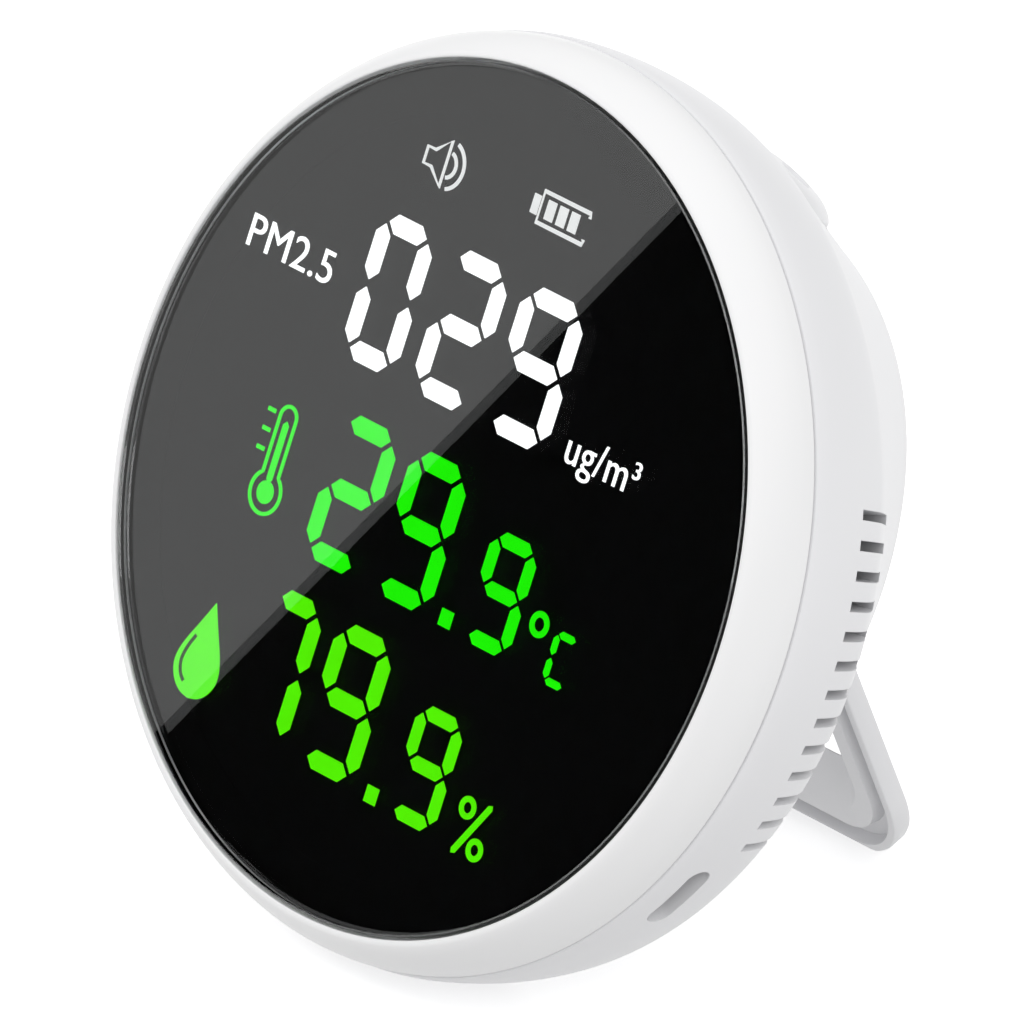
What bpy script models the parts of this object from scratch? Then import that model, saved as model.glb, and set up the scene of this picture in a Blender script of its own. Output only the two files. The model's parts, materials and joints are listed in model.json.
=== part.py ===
"""Air quality monitor: a round case leaning back on a fold-out stand.

The case is modelled upright in its own frame: x across the face, y going back from the glass,
z up the face, origin at the middle of the glass. One empty leans that frame back and sets it
on the ground plane z = 0. Dimensions are in millimetres and become metres as meshes are made.
"""

import math

import bmesh
import bpy
from mathutils import Matrix, Vector

MM = 0.001
LEAN = math.radians(23.0)
DISC_HEIGHT = 49.8        # middle of the glass above the table
DISC_BACK = -16.17        # places the frame's origin under the middle of the object's box
TURN_STEPS = 56
SHELL_STEPS = 60

GLASS_R = 44.85
GLASS_THICK = 2.0
BEZEL_BORE_R = 45.15
LEDGE_R = 40.8
SEAM_Y = 6.6

# Outer section of the rear shell, (radius, depth), from the seam to the shoulder.
SHELL_SECTION = [(48.6, 6.9), (48.75, 8.4), (48.6, 10.8), (48.3, 13.2), (47.8, 15.6), (47.15, 17.7),
        (46.2, 19.3)]
SAG = 0.05                # the shell settles downwards by this much for each millimetre behind the seam
RIM_R = 36.5
BACK_Y = 28.9             # depth of the slanted back at the middle of the face
BACK_SLOPE = 0.25         # how much deeper the back is for each millimetre up
BACK_TILT = math.atan(BACK_SLOPE / (1 - SAG * BACK_SLOPE))
CAVITY_OFFSET = 4.9

VENT_COUNT = 13
VENT_MIDDLE = 93.25
VENT_PITCH = 3.73
VENT_WIDTH = 1.05
PORT_ANGLE = 125.0
PORT_Y = 11.3

BUTTON_ANGLE = 17.0
BUTTON_R = 43.4
BUTTON_Y = 23.3
BUTTON_AXIS = Vector((0.28, 0.33, 0.90)).normalized()
BUTTON_CAP_R = 6.0

HINGE_POINT = Vector((0.0, 28.5, 7.2))
STAND_OPEN = math.radians(45.0)
STAND_HALF = 22.0
STAND_REACH = 49.6
STAND_BAND = 5.2
STAND_FRONT = -0.3
STAND_BACK = 2.3
KNUCKLE_R = 2.3
PIN_R = 0.8

SENSOR_X = (-23.2, 13.8)
SENSOR_Y = (13.3, 22.4)
SENSOR_Z = (-2.0, 28.0)
FAN_CENTRE = (3.0, 14.0)
FAN_R = 9.2

for old in list(bpy.data.objects):
    bpy.data.objects.remove(old, do_unlink=True)

parts = bpy.data.collections.new("air_quality_monitor")
cutters = bpy.data.collections.new("cutters")
bpy.context.scene.collection.children.link(parts)
bpy.context.scene.collection.children.link(cutters)

leaning = bpy.data.objects.new("leaning_frame", None)
leaning.location = Vector((0.0, DISC_BACK, DISC_HEIGHT)) * MM
leaning.rotation_euler = (-LEAN, 0.0, 0.0)
parts.objects.link(leaning)

hinge = bpy.data.objects.new("stand_hinge_axis", None)
hinge.parent = leaning
hinge.location = HINGE_POINT * MM
hinge.rotation_euler = (STAND_OPEN, 0.0, 0.0)
parts.objects.link(hinge)


def material(name, colour, roughness, metallic=0.0):
    made = bpy.data.materials.new(name)
    made.use_nodes = True
    shader = made.node_tree.nodes["Principled BSDF"]
    shader.inputs["Base Color"].default_value = (*colour, 1.0)
    shader.inputs["Roughness"].default_value = roughness
    shader.inputs["Metallic"].default_value = metallic
    return made


WHITE = material("white_plastic", (0.86, 0.86, 0.87), 0.35)
BLACK_GLASS = material("tinted_glass", (0.01, 0.01, 0.012), 0.05)
BLACK = material("black_plastic", (0.02, 0.02, 0.02), 0.5)
FOAM = material("foam_tape", (0.05, 0.05, 0.05), 0.9)
BOARD = material("circuit_board", (0.02, 0.12, 0.05), 0.45)
STEEL = material("plated_steel", (0.6, 0.6, 0.6), 0.3, 1.0)
CELL = material("battery_foil", (0.55, 0.55, 0.57), 0.4, 0.6)
WIRE = material("red_wire", (0.5, 0.02, 0.02), 0.5)


def add(name, mesh, skin, parent=leaning, collection=parts):
    """Put a mesh in the scene; its points are in its parent's frame."""
    made = bpy.data.objects.new(name, mesh)
    made.parent = parent
    if skin:
        mesh.materials.append(skin)
    collection.objects.link(made)
    if collection is cutters:
        made.hide_render = True
        made.display_type = "WIRE"
    return made


def mesh_of(name, work):
    """The finished mesh of a closed body, its faces pointing out."""
    if work.calc_volume(signed=True) < 0:
        bmesh.ops.reverse_faces(work, faces=work.faces)
    mesh = bpy.data.meshes.new(name)
    work.to_mesh(mesh)
    work.free()
    return mesh


def box(name, x, y, z, skin=None, parent=leaning, collection=parts, bevel=0.0):
    """A block between two limits on each axis, its upright edges rounded by bevel."""
    work = bmesh.new()
    bmesh.ops.create_cube(work, size=1.0)
    size = Vector((x[1] - x[0], y[1] - y[0], z[1] - z[0])) * MM
    middle = Vector((x[0] + x[1], y[0] + y[1], z[0] + z[1])) * MM / 2
    work.transform(Matrix.Translation(middle) @ Matrix.Diagonal((*size, 1.0)))
    if bevel:
        along = [e for e in work.edges if abs((e.verts[0].co - e.verts[1].co).normalized().y) > 0.9]
        bmesh.ops.bevel(work, geom=along, offset=bevel * MM, segments=4, affect="EDGES", profile=0.5)
    return add(name, mesh_of(name, work), skin, parent, collection)


def rod(name, start, axis, length, radius, skin=None, parent=leaning, collection=parts, steps=24,
        end_radius=None):
    """A cylinder or cone from start along axis."""
    work = bmesh.new()
    far = radius if end_radius is None else end_radius
    bmesh.ops.create_cone(
        work, cap_ends=True, segments=steps, radius1=radius * MM, radius2=far * MM, depth=length * MM
    )
    turn = Vector((0, 0, 1)).rotation_difference(Vector(axis)).to_matrix().to_4x4()
    middle = Vector(start) * MM + Vector(axis).normalized() * length * MM / 2
    work.transform(Matrix.Translation(middle) @ turn)
    return add(name, mesh_of(name, work), skin, parent, collection)


def turned(name, section, skin, closed=True, steps=TURN_STEPS, parent=leaning, collection=parts,
        spot=None, axis=None):
    """A profile of (radius, depth) points turned about the y axis, or about another axis through spot."""
    mesh = bpy.data.meshes.new(name)
    points = [(radius * MM, 0.0, depth * MM) for radius, depth in section]
    count = len(points)
    edges = [(i, (i + 1) % count) for i in range(count if closed else count - 1)]
    mesh.from_pydata(points, edges, [])
    made = add(name, mesh, skin, parent, collection)
    made.rotation_mode = "QUATERNION"
    made.rotation_quaternion = Vector((0, 0, 1)).rotation_difference(Vector(axis or (0.0, 1.0, 0.0)))
    made.location = Vector(spot or (0.0, 0.0, 0.0)) * MM
    screw = made.modifiers.new("turn", "SCREW")
    screw.axis = "Z"
    screw.steps = steps
    screw.render_steps = steps
    screw.use_merge_vertices = True
    screw.merge_threshold = 0.00001
    return made


def loft(name, rings, skin=None, collection=parts, parent=leaning):
    """One closed body through rings of equal point counts, its ends flat."""
    work = bmesh.new()
    rows = [[work.verts.new(Vector(point) * MM) for point in ring] for ring in rings]
    count = len(rows[0])
    for low, high in zip(rows, rows[1:]):
        for i in range(count):
            work.faces.new((low[i], low[(i + 1) % count], high[(i + 1) % count], high[i]))
    work.faces.new(list(reversed(rows[0])))
    work.faces.new(rows[-1])
    return add(name, mesh_of(name, work), skin, parent, collection)


def combine(target, tool, operation="DIFFERENCE"):
    """Cut or join tool into target, and keep the result as target's own mesh."""
    modifier = target.modifiers.new(operation.lower(), "BOOLEAN")
    modifier.operation = operation
    modifier.solver = "MANIFOLD"
    modifier.object = tool
    bpy.context.view_layer.update()
    graph = bpy.context.evaluated_depsgraph_get()
    result = bpy.data.meshes.new_from_object(target.evaluated_get(graph))
    target.modifiers.clear()
    target.data = result
    bpy.data.objects.remove(tool, do_unlink=True)


def solid(made):
    """Turn a turned or curved object into a plain mesh, its seams welded, in its own frame."""
    bpy.context.view_layer.update()
    graph = bpy.context.evaluated_depsgraph_get()
    mesh = bpy.data.meshes.new_from_object(made.evaluated_get(graph))
    made.modifiers.clear()
    work = bmesh.new()
    work.from_mesh(mesh)
    bmesh.ops.remove_doubles(work, verts=work.verts, dist=0.000001)
    work.to_mesh(mesh)
    work.free()
    made.data = mesh
    return made


def ring(radius, depth, tilt=0.0, steps=SHELL_STEPS):
    """A circle round the y axis whose depth grows by tilt for each millimetre up."""
    points = []
    for i in range(steps):
        turn = 2 * math.pi * i / steps
        up = radius * math.cos(turn)
        points.append((radius * math.sin(turn), depth + tilt * up, up))
    return points


def settled(point):
    """The point moved down as the shell settles behind its seam."""
    x, y, z = point
    return Vector((x, y, z - SAG * max(0.0, y - SEAM_Y)))


def around(angle, radius, depth):
    """The point at an angle from straight up, turning to the right."""
    turn = math.radians(angle)
    return Vector((radius * math.sin(turn), depth, radius * math.cos(turn)))


def back_ring(start_r, start_y, end_r, share, plane_y, steps=SHELL_STEPS):
    """A ring a share of the way from a level circle to one lying on the slanted back."""
    first = ring(start_r, start_y, 0.0, steps)
    last = ring(end_r, plane_y, BACK_SLOPE, steps)
    return [Vector(a).lerp(Vector(b), share) for a, b in zip(first, last)]


def table_block():
    """A block just below the table plane, which flattens whatever stands on it."""
    return box("table", (-60, 60), (-80, 80), (-20, 0), None, None, cutters)


def make_front():
    turned("glass_lens", [(0, GLASS_THICK), (GLASS_R - 0.3, GLASS_THICK), (GLASS_R, GLASS_THICK - 0.3),
                          (GLASS_R, 0.3), (GLASS_R - 0.3, 0.0), (0, 0.0)], BLACK_GLASS, closed=False)
    turned("lens_adhesive", [(44.3, 2.75), (44.3, 2.25), (41.2, 2.25), (41.2, 2.75)], FOAM)
    turned("display_mask", [(0, 2.7), (40.4, 2.7), (40.4, 2.3), (0, 2.3)], BLACK, closed=False)
    section = [(45.6, 8.9), (45.6, 6.3), (48.45, 6.3), (48.5, 5.6), (48.15, 4.1), (47.4, 2.2), (46.6, 0.9),
               (45.75, 0.15), (45.35, 0.0), (BEZEL_BORE_R, 0.2), (BEZEL_BORE_R, 3.0), (LEDGE_R, 3.0),
               (LEDGE_R, 4.3), (44.2, 4.6), (44.2, 8.9)]
    bezel = solid(turned("front_bezel", section, WHITE))
    for number, angle in enumerate((20, 160, 200, 340)):
        foot = around(angle, 43.0, 4.0)
        combine(bezel, rod("boss", foot, (0, 1, 0), 5.5, 1.95, None, leaning, cutters), "UNION")
        combine(bezel, rod("pilot", around(angle, 43.0, 5.0), (0, 1, 0), 6.0, 1.0, None, leaning,
                cutters, 16))
        screw("frame_screw_%d" % (number + 1), around(angle, 43.0, 11.15), 0.9, 1.7, 5.6, 0.7)


def screw(name, seat, head_height, head_r, length, shank_r):
    """A pan-head screw whose head lies behind seat and whose shank runs forward from it."""
    x, y, z = seat
    section = [(0, head_height), (head_r * 0.7, head_height), (head_r, head_height * 0.5), (head_r, 0.0),
               (shank_r, 0.0), (shank_r, -length + 0.6), (0, -length)]
    turned(name, section, STEEL, closed=False, steps=16, spot=(x, y, z))


CASE_SCREWS = [(-27.5, -13.0), (27.5, -13.0), (-27.5, 15.0), (27.5, 15.0)]
BOARD_SCREWS = [(21.5, 26.0), (-21.5, -27.5), (21.5, -27.5)]
FRAME_Y = (9.8, 10.9)


def make_inner_frame():
    frame = rod("inner_frame", (0, FRAME_Y[0], 0), (0, 1, 0), FRAME_Y[1] - FRAME_Y[0], 37.0, BLACK,
            steps=48)
    for angle in (20, 160, 200, 340):
        middle = around(angle, 43.0, 0)
        arm = box("arm", (middle.x - 2.2, middle.x + 2.2), FRAME_Y, sorted((middle.z * 0.5,
                middle.z * 1.045)),
                  None, leaning, cutters)
        combine(frame, arm, "UNION")
        combine(frame, rod("hole", (middle.x, 9, middle.z), (0, 1, 0), 3, 0.95, None, leaning, cutters, 12))
    for x, z in CASE_SCREWS:
        combine(frame, rod("post", (x, 10.5, z), (0, 1, 0), 3.7, 2.6, None, leaning, cutters, 16), "UNION")
        combine(frame, rod("pilot", (x, 9, z), (0, 1, 0), 7, 1.3, None, leaning, cutters, 12))
    for x, z in BOARD_SCREWS:
        combine(frame, rod("pilot", (x, 9, z), (0, 1, 0), 4, 0.95, None, leaning, cutters, 12))
    combine(frame, box("slot", (-10, 10), (9, 13), (-28, -22), None, leaning, cutters))


def make_electronics():
    turned("display_housing", [(0, 8.0), (40.2, 8.0), (40.2, 3.0), (0, 3.0)], BLACK, closed=False, steps=48)
    turned("led_board", [(0, 9.5), (39.5, 9.5), (39.5, 8.3), (0, 8.3)], BOARD, closed=False, steps=48)
    board = box("main_pcb", (-24, 24), (11.7, 12.9), (-31, 30), BOARD, bevel=2.0)
    for x, z in BOARD_SCREWS:
        combine(board, rod("hole", (x, 11, z), (0, 1, 0), 3, 0.95, None, leaning, cutters, 12))
    for number, (x, z) in enumerate(BOARD_SCREWS):
        screw("board_screw_%d" % (number + 1), (x, 13.15, z), 1.0, 1.8, 3.8, 0.7)
    box("board_connector", (-8, 8), (9.8, 11.4), (-26.5, -23.5), BLACK)
    box("microcontroller", (16, 23), (13.2, 14.2), (-1, 6), BLACK)
    rod("buzzer", (19.2, 13.2, 16), (0, 1, 0), 4.2, 4.5, BLACK)
    box("temp_humidity_sensor", (-3, 0), (13.2, 14.2), (-29.5, -26.5), STEEL)
    box("battery", (-22, 14), (13.3, 17.2), (-22.5, -4.0), CELL, bevel=1.0)
    make_lead("battery_lead", [(14.5, 15, -13), (16.3, 15, -13), (17.6, 15, -14), (17.9, 14.6, -16.5),
                               (17.8, 14.3, -18.0)], 0.6)
    box("battery_socket", (15.2, 20.4), (13.2, 16.2), (-23.0, -18.6), WHITE)


def make_lead(name, points, radius):
    curve = bpy.data.curves.new(name, "CURVE")
    curve.dimensions = "3D"
    curve.bevel_depth = radius * MM
    curve.bevel_resolution = 2
    curve.use_fill_caps = True
    spline = curve.splines.new("POLY")
    spline.points.add(len(points) - 1)
    for target, point in zip(spline.points, points):
        target.co = (*(Vector(point) * MM), 1.0)
    made = bpy.data.objects.new(name, curve)
    made.parent = leaning
    curve.materials.append(WIRE)
    parts.objects.link(made)


def make_dust_sensor():
    case = box("pm_sensor_case", SENSOR_X, (SENSOR_Y[0], SENSOR_Y[1] - 1.2), SENSOR_Z, STEEL, bevel=1.0)
    fan_x, fan_z = FAN_CENTRE
    chamber_y = SENSOR_Y[0] + 1.0
    combine(case, rod("chamber", (fan_x, chamber_y, fan_z), (0, 1, 0), 12, FAN_R + 0.8, None,
            leaning, cutters, 32))
    combine(case, box("laser_room", (-22.0, -9.0), (chamber_y, 30), (0, 26), None, leaning, cutters))
    combine(case, box("duct", (-12, -3), (chamber_y, 30), (10, 15), None, leaning, cutters))
    combine(case, box("outlet", (0, 7), (chamber_y + 1, 19), (20, 40), None, leaning, cutters))
    cover = box("pm_sensor_cover", SENSOR_X, (SENSOR_Y[1] - 0.9, SENSOR_Y[1]), SENSOR_Z, STEEL, bevel=1.0)
    combine(cover, rod("inlet", (fan_x, 20, fan_z), (0, 1, 0), 5, 5.0, None, leaning, cutters))
    box("laser_module", (-21.4, -12.5), (chamber_y + 0.3, 19.5), (2, 24), BLACK)
    rotor = rod("fan_rotor", (fan_x, chamber_y + 0.6, fan_z), (0, 1, 0), 0.8, FAN_R, BLACK, steps=32)
    combine(rotor, rod("hub", (fan_x, chamber_y + 0.6, fan_z), (0, 1, 0), 5.2, 3.4, None, leaning,
            cutters), "UNION")
    for number in range(9):
        turn = 2 * math.pi * number / 9
        along = Vector((math.cos(turn), 0, math.sin(turn)))
        middle = Vector((fan_x, chamber_y + 0.9, fan_z)) + along * 7.3
        blade = box("blade", (-1.7, 1.7), (0, 4.6), (-0.3, 0.3), None, leaning, cutters)
        turned_by = Matrix.Translation(middle * MM) @ Matrix.Rotation(-turn + 0.5, 4, "Y")
        blade.data.transform(turned_by)
        combine(rotor, blade, "UNION")
    # The rotor's own origin lies on its axle.
    rotor.data.transform(Matrix.Translation(Vector((-fan_x, 0, -fan_z)) * MM))
    rotor.location = Vector((fan_x, 0, fan_z)) * MM


def placed_on_port(made):
    """Move a block drawn with z outward and y back to the charging port."""
    turn = Matrix.Rotation(math.radians(PORT_ANGLE), 4, "Y")
    made.data.transform(Matrix.Translation(Vector((0, PORT_Y, 0)) * MM) @ turn)
    return made


def make_port():
    shell = placed_on_port(box("usb_receptacle", (-4.45, 4.45), (-1.6, 1.6), (37.6, 44.6), STEEL))
    combine(shell, placed_on_port(box("mouth", (-4.1, 4.1), (-1.25, 1.25), (38.4, 50), None, leaning,
            cutters)))
    placed_on_port(box("usb_tongue", (-3.3, 3.3), (-0.35, 0.35), (38.7, 44.0), BLACK))
    placed_on_port(box("usb_board", (-6.5, 6.5), (1.9, 2.9), (33.5, 41.2), BOARD))


def make_button():
    top = settled(around(BUTTON_ANGLE, BUTTON_R, BUTTON_Y))
    dome = [(0, 0.9), (1.2, 1.0), (1.9, 1.45), (3.0, 1.35), (4.6, 1.0), (5.6, 0.5), (BUTTON_CAP_R, 0.0),
            (BUTTON_CAP_R, -4.0), (7.0, -4.0), (7.0, -4.9), (1.4, -4.9), (1.4, -5.5), (0, -5.5)]
    turned("button_cap", dome, WHITE, closed=False, steps=36, spot=top, axis=BUTTON_AXIS)
    turned("switch_plunger", [(0, -5.65), (1.7, -5.65), (1.7, -6.6), (0, -6.6)], BLACK, closed=False,
           steps=20, spot=top, axis=BUTTON_AXIS)
    for name, half, low, high, skin in (("switch_body", 3.0, -9.6, -7.2, BLACK), ("button_board",
            4.2, -10.8, -9.9, BOARD)):
        made = box(name, (-half, half), (-half, half), (low, high), skin)
        turn = Vector((0, 0, 1)).rotation_difference(BUTTON_AXIS).to_matrix().to_4x4()
        made.data.transform(Matrix.Translation(top * MM) @ turn)


def rounded_loop(half, top, bottom, radius, level):
    """A closed outline in the stand's plane: square at the top, round at its two lower corners."""
    points = [(-half, level, top), (half, level, top)]
    for step in range(9):
        turn = math.radians(90 * step / 8)
        points.append((half - radius + radius * math.cos(turn), level,
                bottom + radius - radius * math.sin(turn)))
    for step in range(9):
        turn = math.radians(90 * step / 8)
        points.append((-half + radius - radius * math.sin(turn), level,
                bottom + radius - radius * math.cos(turn)))
    return points


def make_stand():
    """The stand hangs down from its hinge: z is up to the hinge and y points to its outer face."""
    body = loft("stand_frame", [rounded_loop(STAND_HALF, 0.0, -STAND_REACH, 9.5, level)
                                for level in (STAND_FRONT, STAND_BACK)], WHITE, parts, hinge)
    inner = STAND_HALF - STAND_BAND
    window = loft("window", [rounded_loop(inner, -3.4, -STAND_REACH + STAND_BAND + 0.2, 5.5,
            STAND_FRONT - 0.1),
                             rounded_loop(inner, -3.4, -STAND_REACH + STAND_BAND + 5.6, 5.5,
                                     STAND_BACK + 0.1)],
                  None, cutters, hinge)
    combine(body, window)
    channel = loft("channel", [rounded_loop(STAND_HALF - 0.9, -2.8, -STAND_REACH + 1.0, 8.6, level)
                               for level in (STAND_FRONT - 0.5, STAND_FRONT + 1.5)], None, cutters, hinge)
    core = loft("core", [rounded_loop(STAND_HALF - 3.2, 5.0, -STAND_REACH + 3.3, 6.4, level)
                         for level in (STAND_FRONT - 0.9, STAND_FRONT + 1.9)], None, cutters, hinge)
    combine(channel, core)
    combine(body, channel)
    knuckle = rod("knuckle", (-STAND_HALF, 0, 0), (1, 0, 0), 2 * STAND_HALF, KNUCKLE_R, None, hinge,
            cutters, 32)
    combine(body, knuckle, "UNION")
    for side in (-1, 1):
        combine(body, rod("bore", (side * (STAND_HALF + 1), 0, 0), (-side, 0, 0), 6.2, PIN_R + 0.25,
                None, hinge, cutters, 16))
        name = "hinge_pin_right" if side > 0 else "hinge_pin_left"
        start = HINGE_POINT + Vector((side * (STAND_HALF + 2.4), 0, 0))
        rod(name, start, (-side, 0, 0), 7.2, PIN_R, STEEL, leaning, parts, 16)
    combine(body, table_block())


def make_shell():
    rings = [ring(radius, depth) for radius, depth in SHELL_SECTION]
    start_r, start_y = SHELL_SECTION[-1]
    for share in (0.12, 0.45, 0.80, 0.93):
        rings.append(back_ring(start_r, start_y, RIM_R, share, BACK_Y))
    for inset, drop in ((0.4, 0.75), (1.6, 0.2), (3.2, 0.0)):
        rings.append(ring(RIM_R - inset, BACK_Y - drop, BACK_SLOPE))
    shell = loft("rear_shell", [[settled(point) for point in ring_points] for ring_points in rings], WHITE)
    cavity = [ring(46.3, 4.0), ring(46.4, 9.0), ring(46.0, 11.2), ring(45.0, 14.0, 0.03)]
    cavity.append(ring(34.2, BACK_Y - CAVITY_OFFSET, BACK_SLOPE))
    cavity = [[settled(point) for point in ring_points] for ring_points in cavity]
    combine(shell, loft("cavity", cavity, None, cutters))
    plane = Matrix.Translation(HINGE_POINT * MM) @ Matrix.Rotation(-BACK_TILT, 4, "X")
    trough = box("trough", (-28, 28), (-4.1, 1.5), (-4.4, 4.4), None, leaning, cutters)
    trough.data.transform(plane)
    combine(shell, trough, "UNION")
    for x, z in CASE_SCREWS:
        length = BACK_Y + BACK_SLOPE * z - 1.5 - 14.6
        combine(shell, rod("post", (x, 14.6, z), (0, 1, 0), length, 3.9, None, leaning, cutters, 20),
                "UNION")
        combine(shell, rod("through", (x, 13, z), (0, 1, 0), 8, 1.3, None, leaning, cutters, 16))
        combine(shell, rod("counterbore", (x, 19.0, z), (0, 1, 0), 20, 2.5, None, leaning, cutters, 20))
    pocket = loft("pocket", [rounded_loop(STAND_HALF + 0.6, 2.0, -STAND_REACH - 0.8, 10.2, level)
                             for level in (STAND_FRONT - 0.5, STAND_BACK + 6.0)], None, cutters)
    pocket.data.transform(plane)
    combine(shell, pocket)
    well = rod("well", (-STAND_HALF - 0.6, 0, 0), (1, 0, 0), 2 * STAND_HALF + 1.2, KNUCKLE_R + 0.45,
            None, leaning, cutters, 32)
    well.data.transform(plane)
    combine(shell, well)
    throat = box("throat", (-STAND_HALF - 0.6, STAND_HALF + 0.6), (0, 9), (-KNUCKLE_R - 0.45,
            KNUCKLE_R + 0.45), None, leaning, cutters)
    throat.data.transform(plane)
    combine(shell, throat)
    for side in (-1, 1):
        start = HINGE_POINT + Vector((side * (STAND_HALF + 2.7), 0, 0))
        combine(shell, rod("pin_hole", start, (-side, 0, 0), 5, PIN_R + 0.15, None, leaning, cutters, 16))
    for side in (-1, 1):
        for number in range(VENT_COUNT):
            angle = side * (VENT_MIDDLE + (number - (VENT_COUNT - 1) / 2) * VENT_PITCH)
            slot = box("vent", (-VENT_WIDTH / 2, VENT_WIDTH / 2), (14.2, 21.4), (38.6, 52), None,
                    leaning, cutters)
            slot.data.transform(Matrix.Rotation(math.radians(angle), 4, "Y"))
            combine(shell, slot)
    port = box("port", (-2.9, 2.9), (-1.5, 1.5), (44, 52), None, leaning, cutters)
    for side in (-1, 1):
        end = rod("end", (side * 2.9, 0, 44), (0, 0, 1), 8, 1.5, None, leaning, cutters, 20)
        combine(port, end, "UNION")
    combine(shell, placed_on_port(port))
    top = settled(around(BUTTON_ANGLE, BUTTON_R, BUTTON_Y))
    combine(shell, rod("button_hole", top - BUTTON_AXIS * 9, BUTTON_AXIS, 16, BUTTON_CAP_R + 0.35,
            None, leaning, cutters, 36))
    combine(shell, rod("flange_room", top - BUTTON_AXIS * 9, BUTTON_AXIS, 5.4, 7.6, None, leaning,
            cutters, 36))
    combine(shell, table_block())


def make_case_screws():
    for number, (x, z) in enumerate(CASE_SCREWS):
        screw("case_screw_%d" % (number + 1), (x, 19.25, z), 1.6, 2.1, 8.0, 1.0)


make_front()
make_inner_frame()
make_electronics()
make_dust_sensor()
make_port()
make_button()
make_shell()
make_case_screws()
make_stand()

for made in parts.objects:
    if made.type == "MESH":
        made.data.shade_smooth()
        made.data.set_sharp_from_angle(angle=math.radians(30))
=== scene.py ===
"""Looks of the air quality monitor: fine outer shells, the lit face behind its glass, and the materials."""

import json
import math

import bmesh
import bpy
from mathutils import Matrix, Vector


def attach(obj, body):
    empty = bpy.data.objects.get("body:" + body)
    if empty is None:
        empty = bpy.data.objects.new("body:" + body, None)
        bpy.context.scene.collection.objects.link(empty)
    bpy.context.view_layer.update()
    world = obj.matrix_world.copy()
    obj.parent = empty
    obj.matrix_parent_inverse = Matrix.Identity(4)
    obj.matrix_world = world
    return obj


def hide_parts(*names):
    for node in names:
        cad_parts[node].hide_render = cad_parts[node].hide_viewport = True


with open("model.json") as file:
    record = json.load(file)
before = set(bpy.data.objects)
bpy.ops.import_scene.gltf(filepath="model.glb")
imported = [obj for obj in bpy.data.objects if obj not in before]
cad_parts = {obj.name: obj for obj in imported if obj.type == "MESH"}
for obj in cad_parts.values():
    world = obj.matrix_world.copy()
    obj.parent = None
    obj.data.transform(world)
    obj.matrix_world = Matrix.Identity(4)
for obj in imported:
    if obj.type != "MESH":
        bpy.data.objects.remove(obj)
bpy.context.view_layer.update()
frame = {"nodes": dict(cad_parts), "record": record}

MM = 0.001
LEAN = math.radians(23.0)
DISC_CENTRE = Vector((0.0, -0.01617, 0.0498))
TO_WORLD = Matrix.Translation(DISC_CENTRE) @ Matrix.Rotation(-LEAN, 4, "X")
FACE_R = 45.0
FINE_STEPS = 192

SAG = 0.05
SEAM_Y = 6.6
BACK_Y = 28.9
BACK_SLOPE = 0.25
BACK_TILT = math.atan(BACK_SLOPE / (1 - SAG * BACK_SLOPE))
RIM_R = 36.5
HINGE_POINT = Vector((0.0, 28.5, 7.2))
STAND_OPEN = math.radians(45.0)
STAND_HALF = 22.0
STAND_REACH = 49.6
STAND_BAND = 5.2
STAND_FRONT = -0.3
STAND_BACK = 2.3
KNUCKLE_R = 2.3
BUTTON_ANGLE = 17.0
BUTTON_R = 43.4
BUTTON_Y = 23.3
BUTTON_HOLE_R = 6.35
BUTTON_ROOM_R = 7.6
BUTTON_AXIS = Vector((0.28, 0.33, 0.90)).normalized()
VENT_COUNT = 13
VENT_MIDDLE = 93.25
VENT_PITCH = 3.73
VENT_WIDTH = 1.05
VENT_DEPTH = (14.2, 21.4)
VENT_RADII = (38.6, 52)
PORT_ANGLE = 125.0
PORT_Y = 11.3
PORT_HALF = 2.9
PORT_END_R = 1.5
CASE_SCREWS = [(-27.5, -13.0), (27.5, -13.0), (-27.5, 15.0), (27.5, 15.0)]

AT_HINGE = Matrix.Translation(HINGE_POINT * MM)
OPEN_STAND = TO_WORLD @ AT_HINGE @ Matrix.Rotation(STAND_OPEN, 4, "X")


# ---------------------------------------------------------------- camera and light

CAMERA_AZIMUTH = math.radians(49.38)
CAMERA_ELEVATION = math.radians(26.32)
CAMERA_DISTANCE = 2.5
CAMERA_LENS = 863.2
# The fitted view holds the disc's centre a little left of and above the middle of the frame.
CAMERA_SIDEWAYS = 0.00868
CAMERA_DOWN = 0.00142

WORLD_LOW = 0.54
WORLD_HIGH = 0.93
SHEEN = 0.88


def camera_axes():
    back = Vector((math.sin(CAMERA_AZIMUTH) * math.cos(CAMERA_ELEVATION),
                   -math.cos(CAMERA_AZIMUTH) * math.cos(CAMERA_ELEVATION), math.sin(CAMERA_ELEVATION)))
    right = Vector((math.cos(CAMERA_AZIMUTH), math.sin(CAMERA_AZIMUTH), 0.0))
    return right, back.cross(right), back


def make_camera():
    right, up, back = camera_axes()
    data = bpy.data.cameras.new("camera")
    data.lens = CAMERA_LENS
    data.sensor_width = 36.0
    data.clip_start = 0.05
    data.clip_end = 50.0
    made = bpy.data.objects.new("camera", data)
    spot = DISC_CENTRE + back * CAMERA_DISTANCE + right * CAMERA_SIDEWAYS - up * CAMERA_DOWN
    made.matrix_world = Matrix.Translation(spot) @ Matrix((right, up, back)).transposed().to_4x4()
    bpy.context.scene.collection.objects.link(made)
    bpy.context.scene.camera = made


def area_light(name, spot, size, power, aim=(0.0, 0.0, 0.05)):
    data = bpy.data.lights.new(name, "AREA")
    data.shape = "DISK"
    data.size = size
    data.energy = power
    made = bpy.data.objects.new(name, data)
    made.location = spot
    made.rotation_euler = (Vector(aim) - Vector(spot)).to_track_quat("-Z", "Y").to_euler()
    made.visible_glossy = False
    bpy.context.scene.collection.objects.link(made)


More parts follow.
